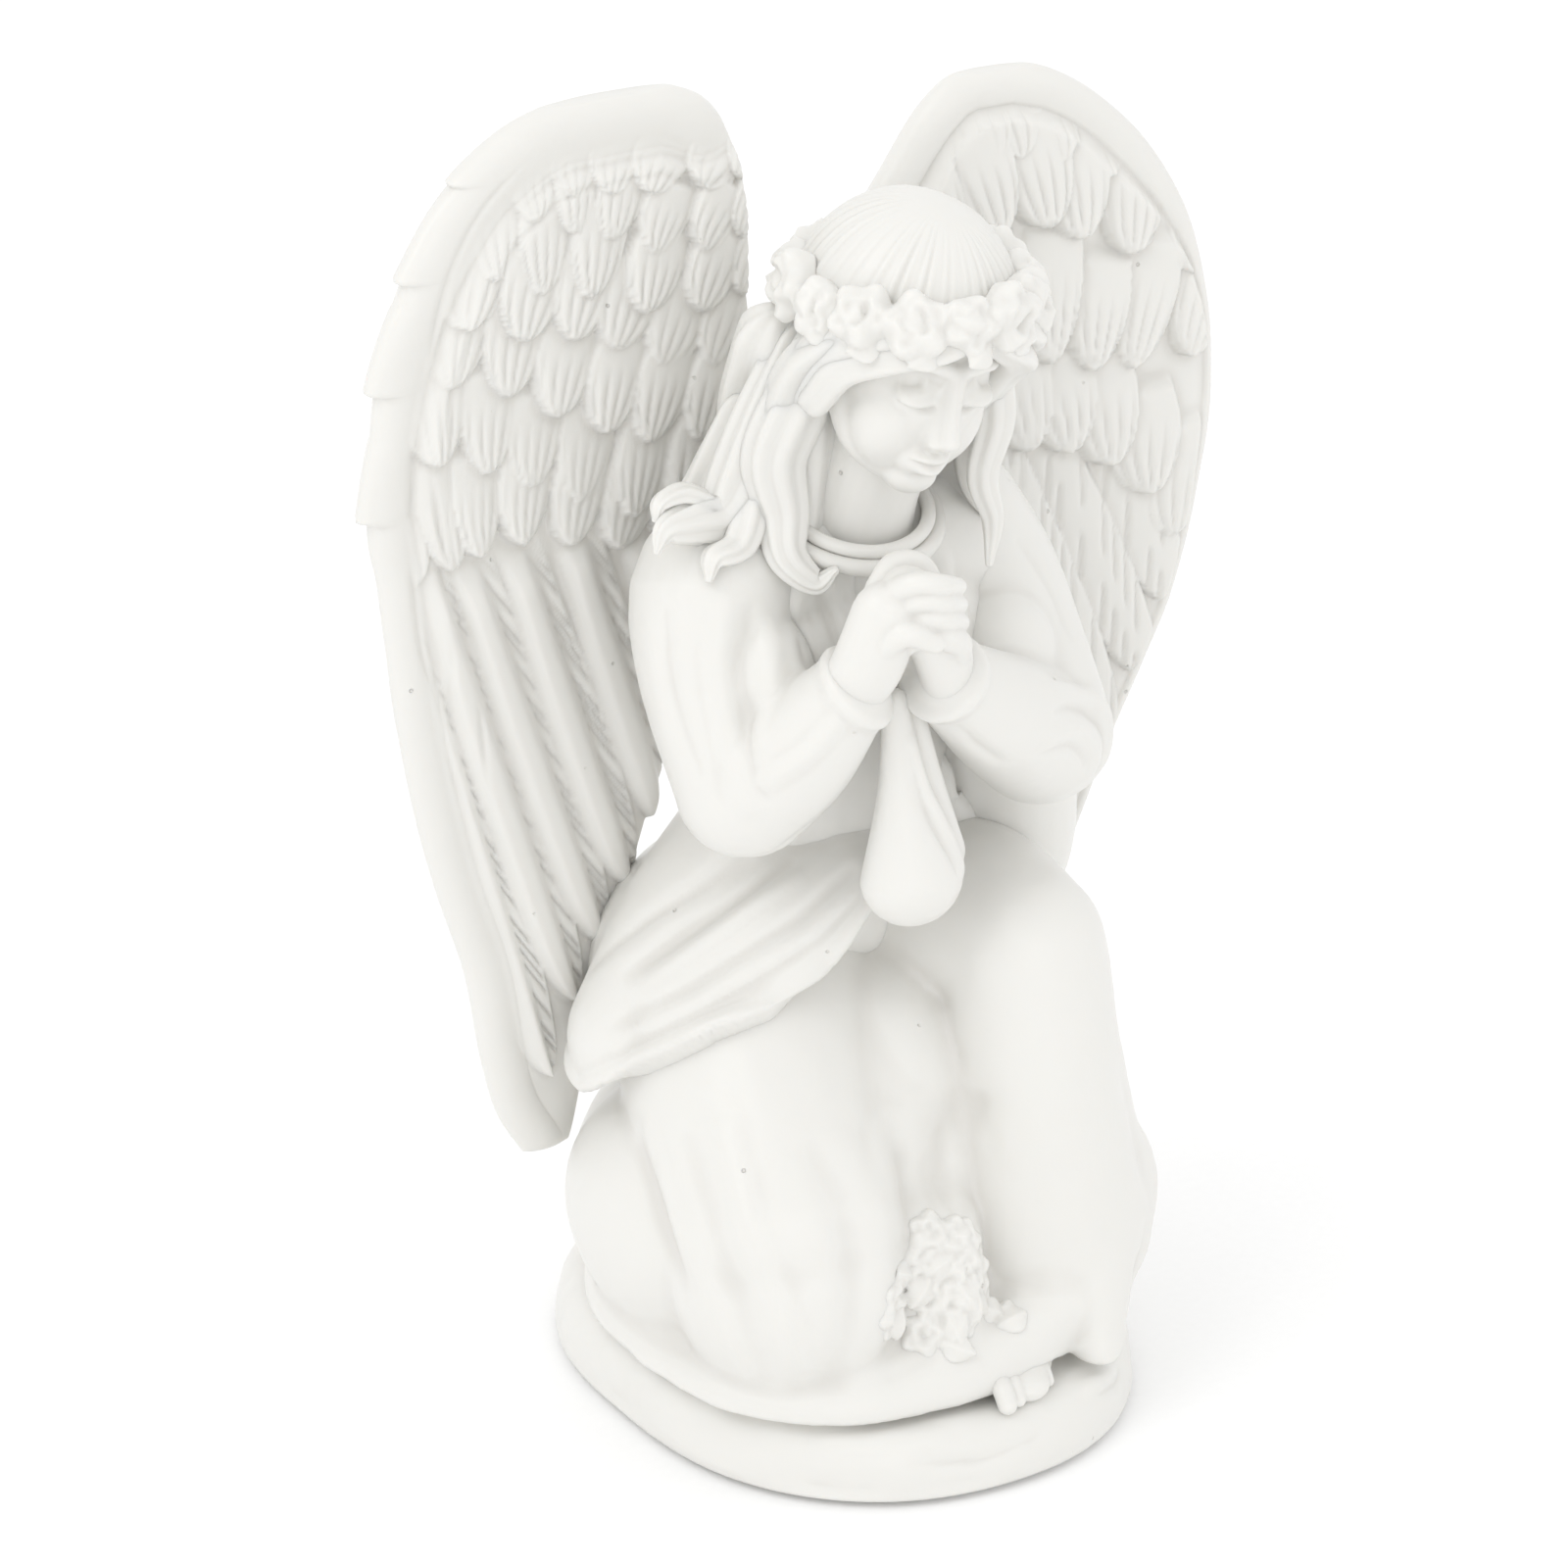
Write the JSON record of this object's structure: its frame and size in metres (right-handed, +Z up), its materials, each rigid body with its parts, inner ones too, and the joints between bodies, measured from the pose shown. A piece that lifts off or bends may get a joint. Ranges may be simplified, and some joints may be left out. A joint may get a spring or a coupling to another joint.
{
  "type": "kneeling angel figurine",
  "caption": "White cast-resin figurine of a kneeling, winged figure in a flowing robe with clasped hands and a flower wreath, on an oval rock plinth.",
  "frame": {"origin": "centre of the flat face it rests on, under the middle of the plinth", "axes": "+Z up, -Y the way the body faces, +X towards the figure's left hand"},
  "size_m": [0.101, 0.0676, 0.143],
  "materials": {
    "resin": "white cast polyester resin, satin, unpainted, with fine casting pinholes",
    "felt": "grey-green needled felt, glued under the plinth",
    "pin_steel": "cut steel wire pins, hidden in the glued joints"
  },
  "bodies": {
    "root": {"base_rock": "resin", "felt_pad": "felt", "base_pins": "pin_steel", "robe_skirt": "resin", "left_foot": "resin", "flower_spray": "resin", "tunic": "resin", "waist_pin": "pin_steel", "torso": "resin", "collar": "resin", "right_sleeve": "resin", "left_sleeve": "resin", "praying_hands": "resin", "hanging_drape": "resin", "neck_pin": "pin_steel", "head": "resin", "hair": "resin", "flower_wreath": "resin", "wing_pins": "pin_steel", "right_wing": "resin", "left_wing": "resin"}
  },
  "joints": []
}
